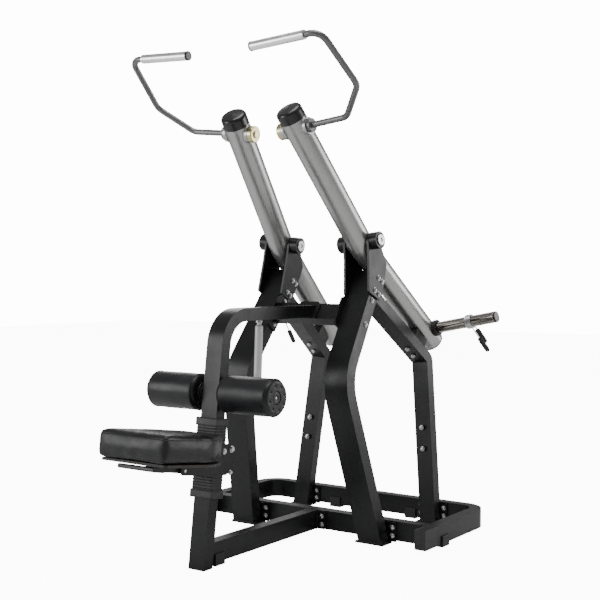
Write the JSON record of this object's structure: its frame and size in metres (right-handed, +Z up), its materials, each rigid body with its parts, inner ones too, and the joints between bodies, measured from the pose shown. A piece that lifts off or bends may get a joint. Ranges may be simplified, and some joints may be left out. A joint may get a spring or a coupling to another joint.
{
  "type": "lat pulldown machine",
  "caption": "Plate-loaded lever lat pulldown with two independent arms, swivel handles, horns with spring collars, foam thigh rollers and a sliding seat.",
  "frame": {"origin": "middle of the bounding box at floor level", "axes": "+Z up; +Y from the seat towards the weight horns; +X to the right of a user facing the column seen from behind the seat"},
  "size_m": [1.249, 1.7711, 1.9769],
  "materials": {
    "frame_black": "satin powder coat",
    "cap_plastic": "gloss",
    "foot_rubber": "matte",
    "bolt_steel": "bright zinc",
    "arm_grey": "satin metallic",
    "bearing_bronze": "machined",
    "horn_chrome": "polished",
    "handle_grey": "satin",
    "grip_aluminium": "brushed",
    "retainer_steel": "yellow zinc",
    "foam_vinyl": "grained vinyl",
    "hub_plastic": "moulded",
    "seat_vinyl": "grained vinyl",
    "board_wood": "black stained",
    "strut_silver": "silver"
  },
  "bodies": {
    "frame": {"base_front_beam": "frame_black", "base_side_and_rear_rail": "frame_black", "base_spine": "frame_black", "seat_column": "frame_black", "front_leg_right": "frame_black", "front_leg_left": "frame_black", "rear_leg_right": "frame_black", "rear_leg_left": "frame_black", "upper_cross_brace": "frame_black", "pivot_brackets_right": "frame_black", "pivot_brackets_left": "frame_black", "strut_tie": "frame_black", "guide_rail": "frame_black", "rail_end_caps": "cap_plastic", "rubber_feet": "foot_rubber", "arm_bumpers": "foot_rubber", "frame_bolts": "bolt_steel", "bracket_bolts_right": "bolt_steel", "bracket_bolts_left": "bolt_steel", "pivot_shaft_right": "bolt_steel", "pivot_shaft_left": "bolt_steel", "pivot_shaft_caps": "bolt_steel", "roller_shaft": "bolt_steel", "strut_fitting": "bolt_steel", "strut_tube": "strut_silver"},
    "lever_right": {"lever_arm_right": "arm_grey", "arm_top_cap_right": "cap_plastic", "arm_end_cap_right": "cap_plastic", "arm_bearings_right": "bearing_bronze", "weight_horn_right": "horn_chrome", "horn_end_cap_right": "cap_plastic"},
    "handle_right": {"handle_tube_right": "handle_grey", "hand_grip_right": "grip_aluminium", "grip_end_cap_right": "cap_plastic", "handle_retainer_right": "retainer_steel"},
    "collar_right": {"collar_spring_right": "bolt_steel", "collar_grips_right": "foot_rubber"},
    "roller_right": {"foam_roller_right": "foam_vinyl", "roller_hub_right": "hub_plastic"},
    "lever_left": {"lever_arm_left": "arm_grey", "arm_top_cap_left": "cap_plastic", "arm_end_cap_left": "cap_plastic", "arm_bearings_left": "bearing_bronze", "weight_horn_left": "horn_chrome", "horn_end_cap_left": "cap_plastic"},
    "handle_left": {"handle_tube_left": "handle_grey", "hand_grip_left": "grip_aluminium", "grip_end_cap_left": "cap_plastic", "handle_retainer_left": "retainer_steel"},
    "collar_left": {"collar_spring_left": "bolt_steel", "collar_grips_left": "foot_rubber"},
    "roller_left": {"foam_roller_left": "foam_vinyl", "roller_hub_left": "hub_plastic"},
    "seat": {"seat_cushion": "seat_vinyl", "seat_board": "board_wood", "seat_carriage": "frame_black", "guide_sleeve": "hub_plastic", "carriage_bolts": "bolt_steel"},
    "release": {"release_lever": "hub_plastic"},
    "plunger": {"brake_plunger": "bolt_steel"}
  },
  "joints": [
    {"name": "lever_pivot_right", "type": "hinge", "parent": "frame", "child": "lever_right", "pos_m": [0.2052, 0.286, 1.2331], "axis": [0.9941, -0.0347, 0.1028], "range_deg": [0, 60]},
    {"name": "handle_swivel_right", "type": "hinge", "parent": "lever_right", "child": "handle_right", "pos_m": [0.14633, -0.08917, 1.67574], "axis": [0.9941, -0.0347, 0.1028], "range_deg": [-75, 0]},
    {"name": "collar_slide_right", "type": "slide", "parent": "lever_right", "child": "collar_right", "axis": [0.981, -0.0343, 0.1908], "range_m": [-0.12, 0.09]},
    {"name": "roller_spin_right", "type": "hinge", "parent": "frame", "child": "roller_right", "pos_m": [0.175, -0.42474, 0.651], "axis": [1, 0, 0], "continuous": true},
    {"name": "lever_pivot_left", "type": "hinge", "parent": "frame", "child": "lever_left", "pos_m": [-0.2052, 0.286, 1.2331], "axis": [0.9941, 0.0347, -0.1028], "range_deg": [0, 60]},
    {"name": "handle_swivel_left", "type": "hinge", "parent": "lever_left", "child": "handle_left", "pos_m": [-0.14633, -0.08917, 1.67574], "axis": [0.9941, 0.0347, -0.1028], "range_deg": [-75, 0]},
    {"name": "collar_slide_left", "type": "slide", "parent": "lever_left", "child": "collar_left", "axis": [-0.981, -0.0343, 0.1908], "range_m": [-0.12, 0.09]},
    {"name": "roller_spin_left", "type": "hinge", "parent": "frame", "child": "roller_left", "pos_m": [-0.175, -0.42474, 0.651], "axis": [1, 0, 0], "continuous": true},
    {"name": "seat_slide", "type": "slide", "parent": "frame", "child": "seat", "axis": [0, 0.1323, 0.9912], "range_m": [-0.15, 0]},
    {"name": "release_hinge", "type": "hinge", "parent": "seat", "child": "release", "pos_m": [0, -0.65086, 0.39287], "axis": [1, 0, 0], "range_deg": [0, 12], "stiffness_Nm_per_rad": 4, "springref_deg": -22.92},
    {"name": "plunger_slide", "type": "slide", "parent": "seat", "child": "plunger", "axis": [0, 0.9912, -0.1323], "range_m": [0, 0.005]}
  ],
  "couplings": [
    {"joint": "plunger_slide", "follows": "release_hinge", "m_per_rad": 0.0238}
  ]
}
